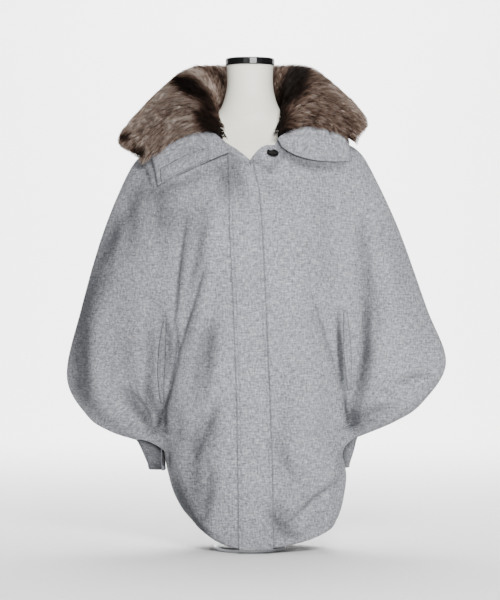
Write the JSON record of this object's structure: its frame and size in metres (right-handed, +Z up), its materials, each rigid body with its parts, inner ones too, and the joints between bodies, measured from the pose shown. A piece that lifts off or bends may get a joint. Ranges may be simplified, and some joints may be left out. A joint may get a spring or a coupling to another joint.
{
  "type": "down jacket on a dress form",
  "caption": "Wide batwing down jacket with an open fur-lined collar and a hidden front closing, hollow and open at neck, hem and cuffs, standing on a limbless torso form.",
  "frame": {"origin": "middle of the dress form's base, on the floor that it stands on", "axes": "+Z up, -Y the front of the jacket, +X the wearer's left"},
  "size_m": [0.743, 0.2838, 0.958],
  "materials": {
    "wool_flannel": "brushed melange wool flannel over light down wadding",
    "fur": "dense brown fur with black stripes",
    "dark_horn": "dark polished button",
    "torso_shell": "smooth ivory white",
    "black_cap": "gloss black",
    "stand_steel": "satin steel"
  },
  "bodies": {
    "root": {"front_right": "wool_flannel", "front_left": "wool_flannel", "back_left": "wool_flannel", "back_right": "wool_flannel", "fly_front": "wool_flannel", "collar": "wool_flannel", "collar_tab": "wool_flannel", "cuff_right": "wool_flannel", "cuff_left": "wool_flannel", "pocket_right": "wool_flannel", "pocket_left": "wool_flannel", "fur_collar": "fur", "button": "dark_horn", "torso": "torso_shell", "neck_cap": "black_cap", "pole": "stand_steel", "base": "stand_steel"}
  },
  "joints": []
}
